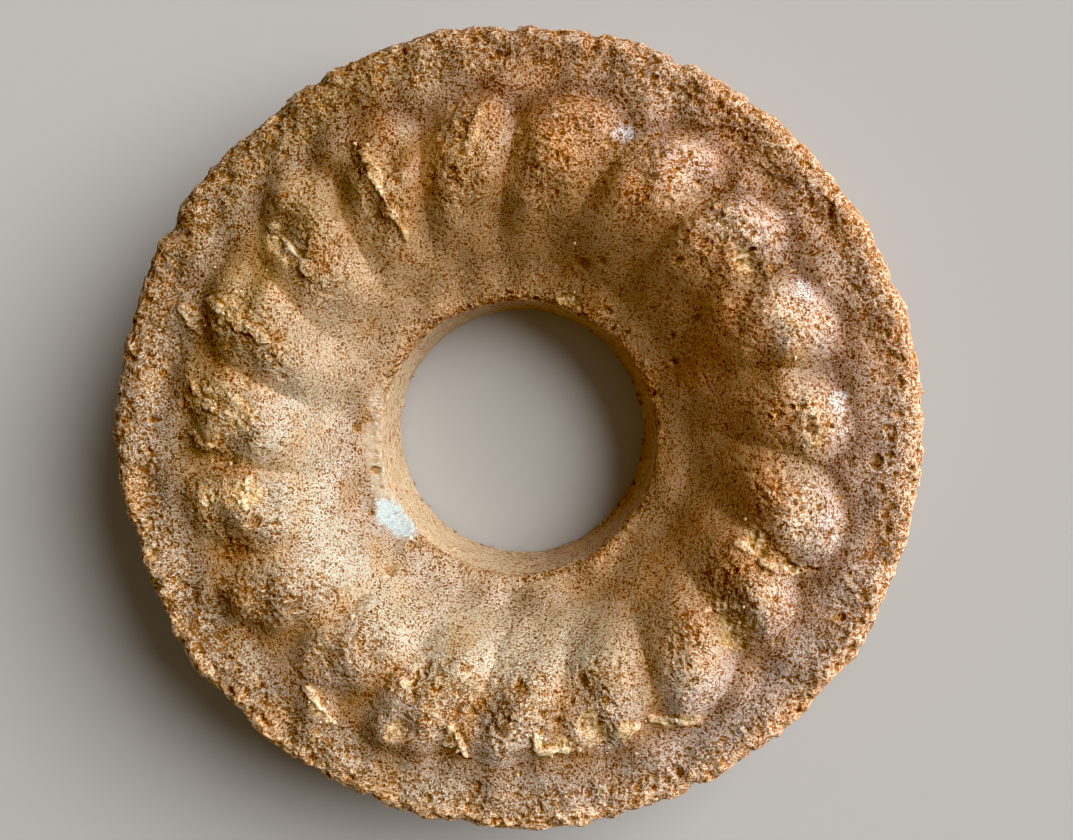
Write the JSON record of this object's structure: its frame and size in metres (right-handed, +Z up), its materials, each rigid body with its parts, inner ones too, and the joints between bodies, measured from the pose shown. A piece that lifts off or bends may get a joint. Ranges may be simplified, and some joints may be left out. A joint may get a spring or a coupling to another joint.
{
  "type": "ring sponge cake",
  "caption": "Plain ring-shaped sponge cake, turned out with its swirled fluted side up: porous browned crust, torn crumb on the flutes and a wide round hole.",
  "frame": {"origin": "middle of the underside, on the axis of the hole", "axes": "+Z up along the axis of the hole; +X and +Y are right and up in the picture, which looks straight down"},
  "size_m": [0.2608, 0.26, 0.0607],
  "materials": {
    "crust": "dry, matt, open-pored golden-brown sponge crust with paler crumb where it is torn"
  },
  "bodies": {
    "root": {"cake": "crust"}
  },
  "joints": []
}
